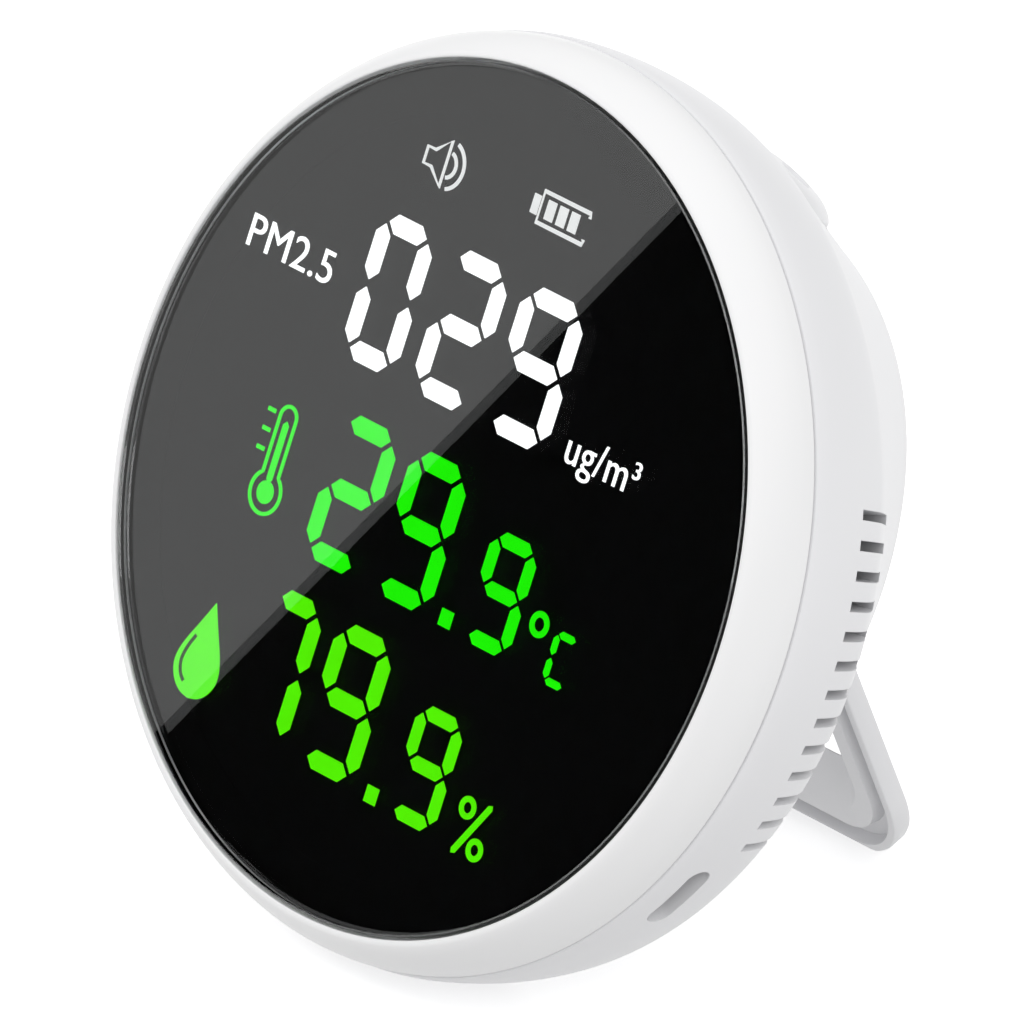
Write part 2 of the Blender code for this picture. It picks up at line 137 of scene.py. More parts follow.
def make_world():
    world = bpy.data.worlds.new("studio")
    bpy.context.scene.world = world
    world.use_nodes = True
    tree = world.node_tree
    place = tree.nodes.new("ShaderNodeTexCoord")
    height = tree.nodes.new("ShaderNodeSeparateXYZ")
    tree.links.new(place.outputs["Generated"], height.inputs[0])
    strength = spread(tree, height.outputs["Z"], WORLD_LOW, WORLD_HIGH)
    strength.node.inputs["From Min"].default_value = -1.0
    tree.links.new(strength, tree.nodes["Background"].inputs["Strength"])
    tree.nodes["Background"].inputs["Color"].default_value = (1.0, 1.0, 1.0, 1.0)
    bpy.context.scene.view_settings.view_transform = "Standard"


def flat_shape(name, corners, skin):
    mesh = bpy.data.meshes.new(name)
    mesh.from_pydata([tuple(corner) for corner in corners], [], [tuple(range(len(corners)))])
    mesh.materials.append(skin)
    made = bpy.data.objects.new(name, mesh)
    bpy.context.scene.collection.objects.link(made)
    return made


def glow(name, colour, strength):
    made = bpy.data.materials.new(name)
    made.use_nodes = True
    tree = made.node_tree
    tree.nodes.clear()
    light = tree.nodes.new("ShaderNodeEmission")
    light.inputs["Color"].default_value = (*colour, 1.0)
    light.inputs["Strength"].default_value = strength
    out = tree.nodes.new("ShaderNodeOutputMaterial")
    tree.links.new(light.outputs[0], out.inputs["Surface"])
    return made


def make_cards():
    """A softbox and a dark flag, seen only as reflections: they lay the slanting sheen across the glass."""
    _, _, back = camera_axes()
    normal = (TO_WORLD.to_3x3() @ Vector((0.0, -1.0, 0.0))).normalized()
    mirrored = (2 * normal.dot(back) * normal - back).normalized()
    face = TO_WORLD.to_3x3()
    high = face @ (Vector((0.426, 0.0, 0.908)) * FACE_R * MM)
    low = face @ (Vector((-0.637, 0.0, -0.761)) * FACE_R * MM)
    # The sheen's edge, flattened along the mirrored ray so that the card stands square to it.
    high = high - mirrored * high.dot(mirrored)
    low = low - mirrored * low.dot(mirrored)
    along = (high - low).normalized()
    side = along.cross(mirrored)
    left = face @ Vector((-1.0, 0.0, 1.0))
    if side.dot(left) < 0:
        side = -side
    middle = (high + low) / 2 + DISC_CENTRE
    near = middle + mirrored * 0.45
    softbox = flat_shape("softbox", [near + along * 0.35, near - along * 0.35,
                                     near - along * 0.35 + side * 0.5, near + along * 0.35 + side * 0.5],
                         glow("softbox_glow", (1.0, 1.0, 1.0), SHEEN))
    far = middle + mirrored * 0.6
    flag = flat_shape("flag", [far + along * 0.7 - side * 0.8, far - along * 0.7 - side * 0.8,
                               far - along * 0.7 + side * 0.8, far + along * 0.7 + side * 0.8],
                      glow("flag_dark", (0.0, 0.0, 0.0), 0.0))
    for card in (softbox, flag):
        card.visible_camera = False
        card.visible_diffuse = False
        card.visible_shadow = False


# ---------------------------------------------------------------- materials

def principled(name, colour, roughness, metallic=0.0):
    made = bpy.data.materials.new(name)
    made.use_nodes = True
    shader = made.node_tree.nodes["Principled BSDF"]
    shader.inputs["Base Color"].default_value = (*colour, 1.0)
    shader.inputs["Roughness"].default_value = roughness
    shader.inputs["Metallic"].default_value = metallic
    return made, made.node_tree, shader


def noise(tree, scale, detail=3.0, distortion=0.0):
    place = tree.nodes.new("ShaderNodeTexCoord")
    made = tree.nodes.new("ShaderNodeTexNoise")
    made.inputs["Scale"].default_value = scale
    made.inputs["Detail"].default_value = detail
    made.inputs["Distortion"].default_value = distortion
    tree.links.new(place.outputs["Object"], made.inputs["Vector"])
    return made.outputs["Fac"]


def spread(tree, source, low, high):
    made = tree.nodes.new("ShaderNodeMapRange")
    made.inputs["To Min"].default_value = low
    made.inputs["To Max"].default_value = high
    tree.links.new(source, made.inputs["Value"])
    return made.outputs["Result"]


def colour_between(tree, source, first, second):
    made = tree.nodes.new("ShaderNodeValToRGB")
    made.color_ramp.elements[0].color = (*first, 1.0)
    made.color_ramp.elements[1].color = (*second, 1.0)
    made.color_ramp.elements[0].position = 0.3
    made.color_ramp.elements[1].position = 0.7
    tree.links.new(source, made.inputs["Fac"])
    return made.outputs["Color"]


def grain(tree, shader, source, depth, edge=0.0):
    """Fine relief, with soft edges where edge is the radius of their rounding."""
    bump = tree.nodes.new("ShaderNodeBump")
    bump.inputs["Strength"].default_value = 0.35
    bump.inputs["Distance"].default_value = depth
    tree.links.new(source, bump.inputs["Height"])
    if edge:
        rounding = tree.nodes.new("ShaderNodeBevel")
        rounding.inputs["Radius"].default_value = edge
        rounding.samples = 6
        tree.links.new(rounding.outputs["Normal"], bump.inputs["Normal"])
    tree.links.new(bump.outputs["Normal"], shader.inputs["Normal"])


def moulded(name, colour, roughness, grain_depth=0.00001, edge=0.00015, shift=0.008):
    """Moulded plastic: a spark-eroded grain, a little cloudiness and soft edges."""
    made, tree, shader = principled(name, colour, roughness)
    cloud = noise(tree, 60.0)
    darker = tuple(max(0.0, part - shift) for part in colour)
    tree.links.new(colour_between(tree, cloud, darker, colour), shader.inputs["Base Color"])
    tree.links.new(spread(tree, noise(tree, 900.0), roughness - 0.02, roughness + 0.02),
            shader.inputs["Roughness"])
    grain(tree, shader, noise(tree, 5200.0, 2.0), grain_depth, edge)
    shader.inputs["Specular IOR Level"].default_value = 0.45
    return made


def metal(name, colour, roughness):
    made, tree, shader = principled(name, colour, roughness, 1.0)
    worn = noise(tree, 350.0, 4.0)
    tree.links.new(spread(tree, worn, roughness - 0.08, roughness + 0.12), shader.inputs["Roughness"])
    tree.links.new(colour_between(tree, worn, tuple(part * 0.88 for part in colour), colour),
            shader.inputs["Base Color"])
    grain(tree, shader, noise(tree, 2600.0), 0.00002)
    return made


def circuit(name):
    made, tree, shader = principled(name, (0.02, 0.12, 0.05), 0.4)
    place = tree.nodes.new("ShaderNodeTexCoord")
    tracks = tree.nodes.new("ShaderNodeTexBrick")
    tracks.inputs["Scale"].default_value = 260.0
    tracks.inputs["Mortar Size"].default_value = 0.03
    tracks.inputs["Color1"].default_value = (0.015, 0.10, 0.04, 1.0)
    tracks.inputs["Color2"].default_value = (0.02, 0.13, 0.055, 1.0)
    tracks.inputs["Mortar"].default_value = (0.06, 0.24, 0.10, 1.0)
    tree.links.new(place.outputs["Object"], tracks.inputs["Vector"])
    tree.links.new(tracks.outputs["Color"], shader.inputs["Base Color"])
    grain(tree, shader, tracks.outputs["Fac"], 0.00003)
    return made


def cover_glass():
    """Clear polished glass with a faint tint; the black comes from the printed film behind it."""
    made, tree, shader = principled("cover_glass", (0.93, 0.95, 0.95), 0.0)
    shader.inputs["Transmission Weight"].default_value = 1.0
    shader.inputs["IOR"].default_value = 1.5
    tree.links.new(spread(tree, noise(tree, 40.0), 0.0, 0.004), shader.inputs["Roughness"])
    return made


def printed_black():
    """Matt black print: next to nothing comes back from it, but it is a little uneven."""
    made, tree, shader = principled("display_mask", (0.004, 0.004, 0.0045), 0.7)
    patch = noise(tree, 500.0)
    tree.links.new(colour_between(tree, patch, (0.003, 0.003, 0.003), (0.0045, 0.0045, 0.005)),
                   shader.inputs["Base Color"])
    shader.inputs["Specular IOR Level"].default_value = 0.03
    return made


def lit(name, colour, strength):
    """A lit display segment: its diffuser glows a little unevenly."""
    made, tree, shader = principled(name, tuple(part * 0.5 for part in colour), 0.5)
    patch = noise(tree, 300.0, 2.0)
    tree.links.new(colour_between(tree, patch, tuple(part * 0.94 for part in colour), colour),
                   shader.inputs["Emission Color"])
    shader.inputs["Emission Strength"].default_value = strength
    shader.inputs["Specular IOR Level"].default_value = 0.0
    return made


SHELL_WHITE = moulded("shell_white", (0.80, 0.80, 0.815), 0.36)
BEZEL_WHITE = moulded("bezel_white", (0.85, 0.85, 0.855), 0.32, 0.000004)
STAND_WHITE = moulded("stand_white", (0.76, 0.76, 0.775), 0.38)
BUTTON_WHITE = moulded("button_white", (0.80, 0.80, 0.815), 0.33)
GLASS = cover_glass()
WHITE_LIGHT = lit("segment_white", (1.0, 1.0, 1.0), 1.15)
ICON_LIGHT = lit("segment_icon", (0.72, 0.72, 0.72), 1.0)
GREEN_LIGHT = lit("segment_green", (0.012, 0.80, 0.002), 1.05)
LIME_LIGHT = lit("segment_lime", (0.085, 0.79, 0.002), 1.05)
LIME_DARK = lit("droplet_mark", (0.004, 0.05, 0.0), 1.0)

BY_SLOT = {
    "shell_white": SHELL_WHITE,
    "bezel_white": BEZEL_WHITE,
    "stand_white": STAND_WHITE,
    "button_white": BUTTON_WHITE,
    "cover_glass": GLASS,
    "display_mask": printed_black(),
    "black_plastic": moulded("black_plastic", (0.022, 0.022, 0.024), 0.5, shift=0.004),
    "foam_tape": moulded("foam_tape", (0.03, 0.03, 0.032), 0.9, 0.0001, shift=0.01),
    "circuit_board": circuit("circuit_board"),
    "plated_steel": metal("plated_steel", (0.62, 0.62, 0.63), 0.28),
    "battery_foil": metal("battery_foil", (0.60, 0.60, 0.62), 0.36),
    "lead_sleeve": moulded("lead_sleeve", (0.45, 0.02, 0.02), 0.5),
    "socket_white": moulded("socket_white", (0.72, 0.71, 0.66), 0.5),
}


# ---------------------------------------------------------------- shapes

def piece(name, mesh, skin, place, body, slot_name, *nodes):
    """Put a finished mesh in the row frame, riding on a body and standing for its CAD nodes."""
    mesh.transform(place)
    made = bpy.data.objects.new(name, mesh)
    mesh.materials.clear()
    mesh.materials.append(skin)
    bpy.context.scene.collection.objects.link(made)
    mesh.shade_smooth()
    mesh.set_sharp_from_angle(angle=math.radians(32))
    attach(made, body)
    if nodes:
        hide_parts(*nodes)
    return made


def loose(mesh):
    """A working object for a Boolean; combine removes it."""
    made = bpy.data.objects.new("work", mesh)
    bpy.context.scene.collection.objects.link(made)
    return made


def mesh_of(work):
    if work.calc_volume(signed=True) < 0:
        bmesh.ops.reverse_faces(work, faces=work.faces)
    mesh = bpy.data.meshes.new("made")
    work.to_mesh(mesh)
    work.free()
    return mesh


def box(x, y, z, place=None):
    work = bmesh.new()
    bmesh.ops.create_cube(work, size=1.0)
    size = Vector((x[1] - x[0], y[1] - y[0], z[1] - z[0])) * MM
    middle = Vector((x[0] + x[1], y[0] + y[1], z[0] + z[1])) * MM / 2
    work.transform(Matrix.Translation(middle) @ Matrix.Diagonal((*size, 1.0)))
    if place:
        work.transform(place)
    return mesh_of(work)


def rod(start, axis, length, radius, steps=64, place=None):
    work = bmesh.new()
    bmesh.ops.create_cone(work, cap_ends=True, segments=steps, radius1=radius * MM, radius2=radius * MM,
                          depth=length * MM)
    turn = Vector((0, 0, 1)).rotation_difference(Vector(axis)).to_matrix().to_4x4()
    work.transform(Matrix.Translation(Vector(start) * MM + Vector(axis).normalized() * length * MM / 2) @ turn)
    if place:
        work.transform(place)
    return mesh_of(work)


def loft(rings):
    """One closed body through rings of equal point counts."""
    work = bmesh.new()
    rows = [[work.verts.new(Vector(point) * MM) for point in ring_points] for ring_points in rings]
    count = len(rows[0])
    for low, high in zip(rows, rows[1:]):
        for i in range(count):
            work.faces.new((low[i], low[(i + 1) % count], high[(i + 1) % count], high[i]))
    work.faces.new(list(reversed(rows[0])))
    work.faces.new(rows[-1])
    return mesh_of(work)


def turned(section, steps=FINE_STEPS, axis=(0.0, 1.0, 0.0)):
    """A closed profile of (radius, depth) turned about axis; radius 0 points meet on it."""
    work = bmesh.new()
    turn = Vector((0, 0, 1)).rotation_difference(Vector(axis)).to_matrix()
    rows = []
    for radius, depth in section:
        if radius == 0:
            point = work.verts.new(turn @ Vector((0, 0, depth)) * MM)
            rows.append([point] * steps)
            continue
        row = []
        for i in range(steps):
            angle = 2 * math.pi * i / steps
            row.append(work.verts.new(turn @ Vector((radius * math.cos(angle),
                    radius * math.sin(angle), depth)) * MM))
        rows.append(row)
    pairs = list(zip(rows, rows[1:]))
    if section[0][0] and section[-1][0]:
        pairs.append((rows[-1], rows[0]))
    for first, second in pairs:
        for i in range(steps):
            corners = [first[i], first[(i + 1) % steps], second[(i + 1) % steps], second[i]]
            corners = list(dict.fromkeys(corners))
            if len(corners) > 2:
                work.faces.new(corners)
    return mesh_of(work)


def combine(target, tool, operation="DIFFERENCE"):
    """Cut or join one mesh into a working object."""
    helper = loose(tool)
    modifier = target.modifiers.new("cut", "BOOLEAN")
    modifier.operation = operation
    modifier.solver = "MANIFOLD"
    modifier.object = helper
    bpy.context.view_layer.update()
    result = bpy.data.meshes.new_from_object(target.evaluated_get(bpy.context.evaluated_depsgraph_get()))
    target.modifiers.clear()
    target.data = result
    bpy.data.objects.remove(helper, do_unlink=True)


def finished(target):
    """The mesh of a working object, which is removed."""
    mesh = target.data
    bpy.data.objects.remove(target, do_unlink=True)
    return mesh


def flowing(points, parts=4):
    """A smooth line through points, as a Catmull-Rom spline."""
    line = []
    ends = [points[0]] + list(points) + [points[-1]]
    for a, b, c, d in zip(ends, ends[1:], ends[2:], ends[3:]):
        for step in range(parts):
            t = step / parts
            line.append(tuple(0.5 * (2 * q + (r - p) * t + (2 * p - 5 * q + 4 * r - s) * t * t
                                     + (3 * q - p - 3 * r + s) * t ** 3) for p, q, r, s in zip(a, b,
                                             c, d)))
    line.append(tuple(points[-1]))
    return line


def settled(point):
    x, y, z = point
    return Vector((x, y, z - SAG * max(0.0, y - SEAM_Y)))


def ring(radius, depth, tilt=0.0):
    points = []
    for i in range(FINE_STEPS):
        turn = 2 * math.pi * i / FINE_STEPS
        up = radius * math.cos(turn)
        points.append(settled((radius * math.sin(turn), depth + tilt * up, up)))
    return points


def around(angle, radius, depth):
    turn = math.radians(angle)
    return Vector((radius * math.sin(turn), depth, radius * math.cos(turn)))


# ---------------------------------------------------------------- the case

SHELL_SECTION = [(48.6, 6.9), (48.75, 8.4), (48.6, 10.8), (48.3, 13.2), (47.8, 15.6), (47.15, 17.7),
        (46.2, 19.3)]
VENT_ANGLES = [VENT_MIDDLE + (number - VENT_COUNT // 2) * VENT_PITCH for number in range(VENT_COUNT)]


def back_ring(share):
    """(radius, depth, tilt) of the ring a share of the way from the shoulder to the slanted back's rim."""
    start_r, start_y = SHELL_SECTION[-1]
    radius = start_r + (RIM_R - start_r) * share
    depth = start_y + (BACK_Y - start_y) * share
    return radius, depth, BACK_SLOPE * RIM_R * share / radius


def shell_rings():
    key = [(radius, depth, 0.0) for radius, depth in SHELL_SECTION]
    key += [back_ring(share) for share in (0.12, 0.28, 0.45, 0.62, 0.80, 0.93)]
    key += [(RIM_R - inset, BACK_Y - drop, BACK_SLOPE) for inset, drop in ((0.4, 0.75), (1.6, 0.2),
            (3.2, 0.0))]
    start = [(48.30, 6.62, 0.0), (48.52, 6.68, 0.0)]
    return [ring(*values) for values in start + flowing(key)]


def make_shell():
    shell = loose(loft(shell_rings()))
    cavity = [ring(46.3, 4.0), ring(46.4, 9.0), ring(46.0, 11.2), ring(45.0, 14.0, 0.03),
              ring(34.2, BACK_Y - 4.9, BACK_SLOPE)]
    combine(shell, loft(cavity))
    at_plane = AT_HINGE @ Matrix.Rotation(-BACK_TILT, 4, "X")
    combine(shell, box((-28, 28), (-4.1, 1.5), (-4.4, 4.4), at_plane), "UNION")
    for x, z in CASE_SCREWS:
        combine(shell, rod((x, 14.6, z), (0, 1, 0), BACK_Y + BACK_SLOPE * z - 16.1, 3.9, 48), "UNION")
        combine(shell, rod((x, 13, z), (0, 1, 0), 8, 1.3, 32))
        combine(shell, rod((x, 19.0, z), (0, 1, 0), 20, 2.5, 48))
    pocket = loft([rounded_loop(STAND_HALF + 0.6, 2.0, -STAND_REACH - 0.8, 10.2, level)
                   for level in (STAND_FRONT - 0.5, STAND_BACK + 6.0)])
    pocket.transform(at_plane)
    combine(shell, pocket)
    combine(shell, rod((-STAND_HALF - 0.6, 0, 0), (1, 0, 0), 2 * STAND_HALF + 1.2, KNUCKLE_R + 0.45,
            48, at_plane))
    combine(shell, box((-STAND_HALF - 0.6, STAND_HALF + 0.6), (0, 9), (-KNUCKLE_R - 0.45,
            KNUCKLE_R + 0.45), at_plane))
    for side in (-1, 1):
        combine(shell, rod(HINGE_POINT + Vector((side * (STAND_HALF + 2.7), 0, 0)), (-side, 0, 0), 5,
                0.95, 32))
        for angle in VENT_ANGLES:
            turn = Matrix.Rotation(math.radians(side * angle), 4, "Y")
            combine(shell, box((-VENT_WIDTH / 2, VENT_WIDTH / 2), VENT_DEPTH, VENT_RADII, turn))
    port = loose(box((-PORT_HALF, PORT_HALF), (-PORT_END_R, PORT_END_R), (44, 52)))
    for side in (-1, 1):
        combine(port, rod((side * PORT_HALF, 0, 44), (0, 0, 1), 8, PORT_END_R, 48), "UNION")
    slot_mesh = finished(port)
    to_port = Matrix.Rotation(math.radians(PORT_ANGLE), 4, "Y")
    slot_mesh.transform(Matrix.Translation((0, PORT_Y * MM, 0)) @ to_port)
    combine(shell, slot_mesh)
    top = settled(around(BUTTON_ANGLE, BUTTON_R, BUTTON_Y))
    combine(shell, rod(top - BUTTON_AXIS * 9, BUTTON_AXIS, 16, BUTTON_HOLE_R, 96))
    combine(shell, rod(top - BUTTON_AXIS * 9, BUTTON_AXIS, 5.4, BUTTON_ROOM_R, 96))
    combine(shell, box((-60, 60), (-80, 80), (-20, 0), TO_WORLD.inverted()))
    piece("rear_shell_fine", finished(shell), SHELL_WHITE, TO_WORLD, "housing", "shell_white",
            "rear_shell")


def make_front():
    outer = flowing([(48.42, 6.1), (48.35, 4.9), (48.0, 3.5), (47.4, 2.2), (46.6, 0.95), (45.9,
            0.22), (45.5, 0.03)], 5)
    section = [(45.6, 8.9), (45.6, 6.5), (48.3, 6.5), (48.42, 6.4)] + outer
    section += [(45.30, 0.03), (45.17, 0.14), (45.15, 3.0), (40.8, 3.0), (40.8, 4.3), (44.2, 4.6),
            (44.2, 8.9)]
    ring_work = loose(turned(section))
    for angle in (20, 160, 200, 340):
        combine(ring_work, rod(around(angle, 43.0, 4.0), (0, 1, 0), 5.5, 1.95, 40), "UNION")
        combine(ring_work, rod(around(angle, 43.0, 5.0), (0, 1, 0), 6.0, 1.0, 32))
    piece("bezel_fine", finished(ring_work), BEZEL_WHITE, TO_WORLD, "housing", "bezel_white",
            "front_bezel")
    glass = [(0, 2.0), (44.2, 2.0), (44.6, 2.0), (44.8, 1.9), (44.85, 1.72), (44.85, 0.3), (44.78,
            0.1), (44.62, 0.0),
             (44.3, 0.0), (0, 0.0)]
    piece("glass_fine", turned(glass), GLASS, TO_WORLD, "housing", "cover_glass", "glass_lens")
    border = [(39.8, 2.22), (44.7, 2.22), (44.7, 2.27), (39.8, 2.27)]
    piece("glass_border", turned(border), BY_SLOT["display_mask"], TO_WORLD, "housing", "display_mask")


def make_button():
    top = settled(around(BUTTON_ANGLE, BUTTON_R, BUTTON_Y))
    dome = flowing([(0, 0.1), (1.0, 0.14), (1.5, 0.45), (1.8, 1.15), (2.1, 1.4), (3.0, 1.38), (4.3,
            1.1), (5.3, 0.62),
                    (5.85, 0.15)], 5)
    skirt = [(6.0, -0.15), (6.0, -4.0), (7.0, -4.0), (7.0, -4.9), (1.4, -4.9), (1.4, -5.5), (0, -5.5)]
    place = TO_WORLD @ Matrix.Translation(top * MM)
    mesh = turned(dome + skirt, 128, BUTTON_AXIS)
    piece("button_fine", mesh, BUTTON_WHITE, place, "button", "button_white", "button_cap")


def rounded_loop(half, top, bottom, radius, level, steps=20):
    points = [(-half, level, top), (half, level, top)]
    for step in range(steps + 1):
        turn = math.radians(90 * step / steps)
        points.append((half - radius + radius * math.cos(turn), level,
                bottom + radius - radius * math.sin(turn)))
    for step in range(steps + 1):
        turn = math.radians(90 * step / steps)
        points.append((-half + radius - radius * math.sin(turn), level,
                bottom + radius - radius * math.cos(turn)))
    return points


def rounded_plate(half, top, bottom, radius):
    """The stand's outer block, its front and back edges rounded off."""
    rings = []
    for level, inset in ((STAND_FRONT, 0.35), (STAND_FRONT + 0.1, 0.12), (STAND_FRONT + 0.35, 0.0),
                         (STAND_BACK - 0.6, 0.0), (STAND_BACK - 0.2, 0.15), (STAND_BACK, 0.55)):
        rings.append(rounded_loop(half - inset, top, bottom + inset, radius - inset, level))
    return loft(rings)


def make_stand():
    stand = loose(rounded_plate(STAND_HALF, 0.0, -STAND_REACH, 9.5))
    inner = STAND_HALF - STAND_BAND
    combine(stand, loft([rounded_loop(inner, -3.4, -STAND_REACH + STAND_BAND + 0.2, 5.5,
            STAND_FRONT - 0.1),
                         rounded_loop(inner, -3.4, -STAND_REACH + STAND_BAND + 5.6, 5.5,
                                 STAND_BACK + 0.1)]))
    channel = loose(loft([rounded_loop(STAND_HALF - wall, -2.8, -STAND_REACH + wall + 0.1,
            9.5 - wall, level)
                          for level, wall in ((STAND_FRONT - 0.5, 0.85), (STAND_FRONT + 1.5, 1.1))]))
    combine(channel, loft([rounded_loop(STAND_HALF - wall, 5.0, -STAND_REACH + wall + 0.1,
            9.6 - wall, level)
                           for level, wall in ((STAND_FRONT - 0.9, 3.3), (STAND_FRONT + 1.9, 2.7))]))
    combine(stand, finished(channel))
    combine(stand, rod((-STAND_HALF, 0, 0), (1, 0, 0), 2 * STAND_HALF, KNUCKLE_R, 64), "UNION")
    for side in (-1, 1):
        combine(stand, rod((side * (STAND_HALF + 1), 0, 0), (-side, 0, 0), 6.2, 1.05, 32))
    combine(stand, box((-60, 60), (-80, 80), (-20, 0), OPEN_STAND.inverted()))
    piece("stand_fine", finished(stand), STAND_WHITE, OPEN_STAND, "stand", "stand_white", "stand_frame")


# ---------------------------------------------------------------- the lit face

# The marks are laid out as seen on the glass. Refraction shows them this far off their places.
SEEN_X = -0.0245
SEEN_Z = -0.0065
SEGMENT_Y = 2.08
SEGMENT_THICK = 0.12
CAP_HEIGHT = 0.70
STROKES = {"0": "abcdef", "2": "abged", "7": "abc", "9": "abcdfg", "C": "adef"}


def on_face(x, z, lift=0.0):
    return Vector(((x + SEEN_X) * FACE_R, SEGMENT_Y + lift, (z + SEEN_Z) * FACE_R)) * MM


def prism(work, outline):
    """A thin plate with this outline, given in glass radii across and up the face."""
    front = [work.verts.new(on_face(x, z)) for x, z in outline]
    back = [work.verts.new(v.co + Vector((0, SEGMENT_THICK * MM, 0))) for v in front]
    count = len(front)
    work.faces.new(front)
    work.faces.new(list(reversed(back)))
    for i in range(count):
        work.faces.new((front[(i + 1) % count], front[i], back[i], back[(i + 1) % count]))


def stroke(work, start, end, width):
    """One segment: a bar with pointed ends."""
    a, b = Vector(start), Vector(end)
    along = (b - a).normalized()
    across = Vector((-along.y, along.x)) * width / 2
    reach = along * width / 2
    prism(work, [a, a + reach + across, b - reach + across, b, b - reach - across, a + reach - across])


def digit(work, mark, x, z, width, gap=0.009):
    """A seven-segment figure in the box from x[0] to x[1] and z[0] to z[1]."""
    half = width / 2
    left, right, low, high = x[0] + half, x[1] - half, z[0] + half, z[1] - half
    middle = (low + high) / 2
    ends = {"a": ((left, high), (right, high)), "b": ((right, high), (right, middle)),
            "c": ((right, middle), (right, low)), "d": ((left, low), (right, low)),
            "e": ((left, middle), (left, low)), "f": ((left, high), (left, middle)),
            "g": ((left, middle), (right, middle))}
    for name in STROKES[mark]:
        start, end = (Vector(point) for point in ends[name])
        pull = (end - start).normalized() * gap
        stroke(work, start + pull, end - pull, width)


def disc(work, x, z, radius, steps=32, inner=0.0):
    """A dot, or a ring where inner is given."""
    def circle(reach):
        turns = [2 * math.pi * i / steps for i in range(steps)]
        return [(x + reach * math.cos(turn), z + reach * math.sin(turn)) for turn in turns]

    if inner:
        band(work, circle(radius), circle(inner))
    else:
        prism(work, circle(radius))


def band(work, outside, inside, closed=True):
    """The plate between two outlines with the same number of points."""
    count = len(outside)
    rows = []
    for outline in (outside, inside):
        for lift in (0.0, SEGMENT_THICK):
            rows.append([work.verts.new(on_face(x, z, lift)) for x, z in outline])
    out_front, out_back, in_front, in_back = rows
    for i in range(count if closed else count - 1):
        j = (i + 1) % count
        work.faces.new((out_front[i], out_front[j], in_front[j], in_front[i]))
        work.faces.new((out_back[j], out_back[i], in_back[i], in_back[j]))
        work.faces.new((out_front[j], out_front[i], out_back[i], out_back[j]))
        work.faces.new((in_front[i], in_front[j], in_back[j], in_back[i]))
    if not closed:
        work.faces.new((out_front[0], in_front[0], in_back[0], out_back[0]))
        work.faces.new((in_front[-1], out_front[-1], out_back[-1], in_back[-1]))


def path_band(work, points, width, closed=False):
    """A line of even width through points."""
    outside, inside = [], []
    count = len(points)
    for i in range(count):
        before = Vector(points[i - 1 if closed or i else 0])
        after = Vector(points[(i + 1) % count if closed or i < count - 1 else i])
        along = (after - before).normalized()
        across = Vector((-along.y, along.x)) * width / 2
        outside.append(tuple(Vector(points[i]) + across))
        inside.append(tuple(Vector(points[i]) - across))
    band(work, outside, inside, closed)


def arc(x, z, radius, start, end, steps=24):
    return [(x + radius * math.cos(math.radians(start + (end - start) * i / steps)),
             z + radius * math.sin(math.radians(start + (end - start) * i / steps))) for i in range(steps + 1)]


def face_piece(name, work, skin):
    bmesh.ops.recalc_face_normals(work, faces=work.faces)
    mesh = bpy.data.meshes.new(name)
    work.to_mesh(mesh)
    work.free()
    return piece(name, mesh, skin, TO_WORLD, "housing", "display_mask")


def lettering(name, words, x, z, height, skin, stretch):
    """Unit lettering in the face's plane, its lower left corner at x, z."""
    curve = bpy.data.curves.new(name, "FONT")
    curve.body = words
    size = height * FACE_R * MM / CAP_HEIGHT
    curve.extrude = SEGMENT_THICK * MM / size / 2
    curve.space_character = 1.04
    made = bpy.data.objects.new(name, curve)
    bpy.context.scene.collection.objects.link(made)
    bpy.context.view_layer.update()
    mesh = bpy.data.meshes.new_from_object(made.evaluated_get(bpy.context.evaluated_depsgraph_get()))
    bpy.data.objects.remove(made, do_unlink=True)
    upright = Matrix.Rotation(math.radians(90), 4, "X") @ Matrix.Diagonal((size * stretch, size,
            size, 1.0))
    mesh.transform(Matrix.Translation(on_face(x, z, SEGMENT_THICK / 2)) @ upright)
    return piece(name, mesh, skin, TO_WORLD, "housing", "display_mask")


def make_dust_row():
    work = bmesh.new()
    for mark, x in (("0", (-0.407, -0.215)), ("2", (-0.160, 0.045)), ("9", (0.094, 0.308))):
        digit(work, mark, x, (0.208, 0.560), 0.047)
    face_piece("digits_dust", work, WHITE_LIGHT)
    lettering("unit_pm", "PM2.5", -0.800, 0.336, 0.078, WHITE_LIGHT, 1.06)
    lettering("unit_dust", "ug/m³", 0.364, 0.222, 0.078, WHITE_LIGHT, 0.96)


def make_temperature_row():
    work = bmesh.new()
    digit(work, "2", (-0.332, -0.133), (-0.250, 0.100), 0.045)
    digit(work, "9", (-0.086, 0.112), (-0.250, 0.100), 0.045)
    digit(work, "9", (0.231, 0.390), (-0.254, 0.015), 0.035, 0.007)
    digit(work, "C", (0.510, 0.590), (-0.258, -0.130), 0.018, 0.004)
    prism(work, [(0.150, -0.250), (0.190, -0.250), (0.190, -0.210), (0.150, -0.210)])
    disc(work, 0.454, -0.141, 0.031, inner=0.016)
    face_piece("digits_temperature", work, GREEN_LIGHT)


def make_humidity_row():
    work = bmesh.new()
    digit(work, "7", (-0.373, -0.195), (-0.685, -0.338), 0.045)
    digit(work, "9", (-0.147, 0.051), (-0.688, -0.340), 0.045)
    digit(work, "9", (0.173, 0.333), (-0.698, -0.425), 0.035, 0.007)
    prism(work, [(0.094, -0.697), (0.133, -0.697), (0.133, -0.657), (0.094, -0.657)])
    disc(work, 0.413, -0.597, 0.027, inner=0.013)
    disc(work, 0.473, -0.678, 0.027, inner=0.013)
    stroke(work, (0.404, -0.708), (0.486, -0.567), 0.016)
    face_piece("digits_humidity", work, LIME_LIGHT)


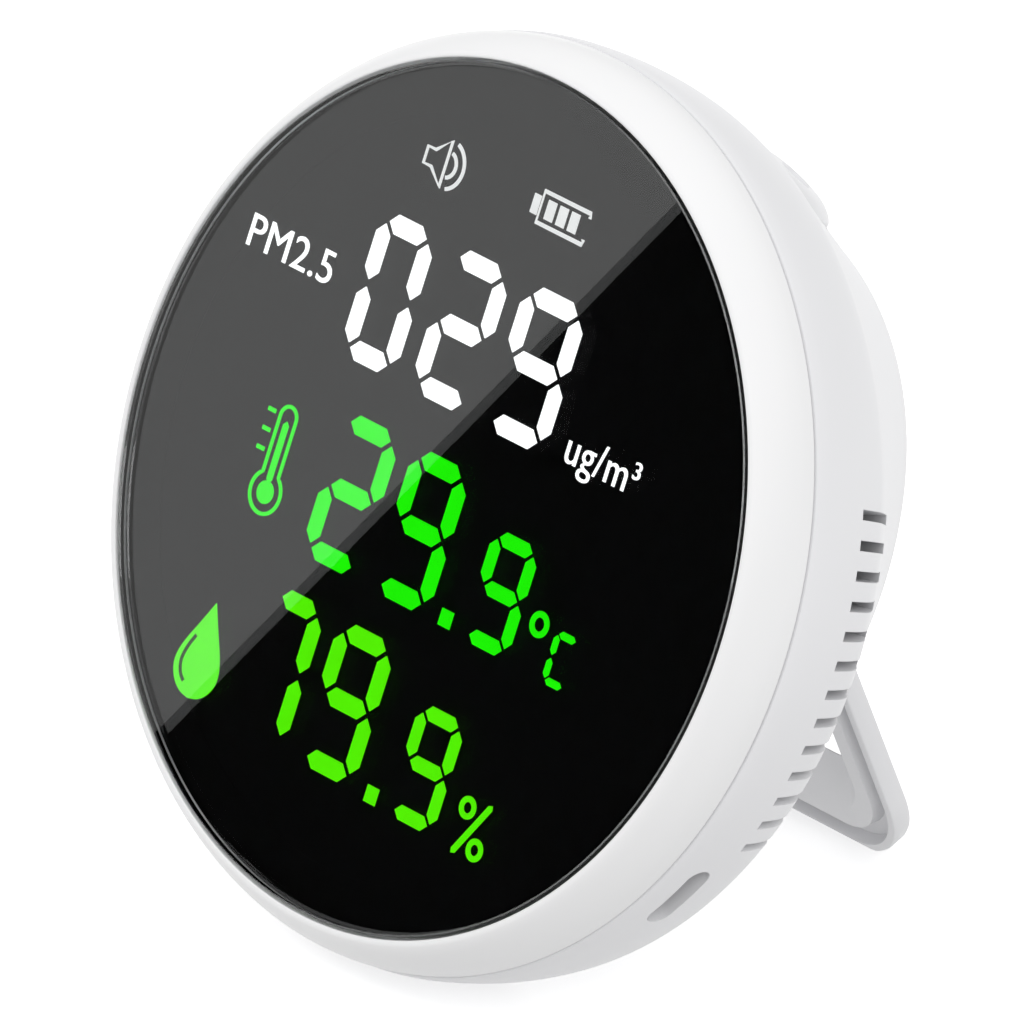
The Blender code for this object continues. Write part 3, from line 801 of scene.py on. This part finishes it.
def make_thermometer():
    x, top, bulb_z = -0.495, 0.043, -0.163
    work = bmesh.new()
    half, bulb_r = 0.027, 0.050
    join = math.degrees(math.asin(half / bulb_r))
    outline = arc(x, top - half, half, 0, 180, 16) + arc(x, bulb_z, bulb_r, 90 + join, 450 - join, 40)
    path_band(work, outline, 0.009, closed=True)
    disc(work, x, bulb_z, 0.027)
    stroke(work, (x, bulb_z + 0.022), (x, top - 0.035), 0.018)
    for z in (0.0175, -0.0285, -0.074):
        path_band(work, [(x - 0.070, z), (x - 0.044, z)], 0.010)
    face_piece("icon_thermometer", work, GREEN_LIGHT)


def make_droplet():
    x, bottom = -0.536, -0.678
    side = [(0.0, 0.0), (0.030, 0.007), (0.056, 0.026), (0.072, 0.054), (0.073, 0.084), (0.060, 0.120),
            (0.038, 0.160), (0.017, 0.198), (0.0, 0.230)]
    right = [(x + across, bottom + up) for across, up in flowing(side, 5)]
    left = [(x - across, bottom + up) for across, up in flowing(side, 5)]
    work = bmesh.new()
    prism(work, right + left[-2:0:-1])
    face_piece("icon_droplet", work, LIME_LIGHT)
    mark = bmesh.new()
    curl = [(-0.030, 0.142), (-0.046, 0.108), (-0.053, 0.074), (-0.043, 0.046), (-0.027, 0.032)]
    path_band(mark, [(x + across, bottom + up) for across, up in flowing(curl, 5)], 0.0095)
    bmesh.ops.translate(mark, verts=mark.verts, vec=(0, -0.03 * MM, 0))
    face_piece("icon_droplet_mark", mark, LIME_DARK)


def make_icons():
    work = bmesh.new()
    cone = [(-0.330, 0.694), (-0.330, 0.734), (-0.303, 0.734), (-0.260, 0.770), (-0.260, 0.658),
            (-0.303, 0.694)]
    path_band(work, cone, 0.008, closed=True)
    path_band(work, arc(-0.257, 0.714, 0.030, -75, 75, 14), 0.009)
    path_band(work, arc(-0.257, 0.714, 0.056, -72, 72, 18), 0.009)
    face_piece("icon_speaker", work, ICON_LIGHT)
    cell = bmesh.new()
    path_band(cell, [(0.222, 0.700), (0.222, 0.688), (0.064, 0.688), (0.064, 0.762), (0.222, 0.762),
            (0.222, 0.750)], 0.010)
    prism(cell, [(0.036, 0.702), (0.058, 0.702), (0.058, 0.748), (0.036, 0.748)])
    for left in (0.084, 0.124, 0.164):
        prism(cell, [(left, 0.702), (left + 0.028, 0.702), (left + 0.028, 0.748), (left, 0.748)])
    face_piece("icon_battery", cell, ICON_LIGHT)


# ---------------------------------------------------------------- the whole

def dress_nodes():
    """The carried-over CAD nodes take the material of their slot."""
    slots = {entry["node"]: entry["material_slot"] for entry in frame["record"]["subparts"]}
    for name, node in frame["nodes"].items():
        skin = BY_SLOT[slots[name]]
        if not node.material_slots:
            node.data.materials.append(skin)
        for place in node.material_slots:
            place.material = skin


def make_floor():
    made, tree, shader = principled("floor", (0.96, 0.96, 0.96), 0.6)
    shader.inputs["Specular IOR Level"].default_value = 0.0
    shader.inputs["Emission Color"].default_value = (1.0, 1.0, 1.0, 1.0)
    shader.inputs["Emission Strength"].default_value = 0.36
    floor = flat_shape("floor", [(-6, -6, 0), (6, -6, 0), (6, 6, 0), (-6, 6, 0)], made)
    floor.visible_diffuse = False


make_camera()
make_world()
make_cards()
make_floor()
area_light("key", (-1.1, -1.3, 1.5), 0.9, 8.0)
area_light("fill", (1.5, -0.6, 1.1), 1.0, 9.0)
dress_nodes()
make_front()
make_shell()
make_button()
make_stand()
make_dust_row()
make_temperature_row()
make_humidity_row()
make_thermometer()
make_droplet()
make_icons()
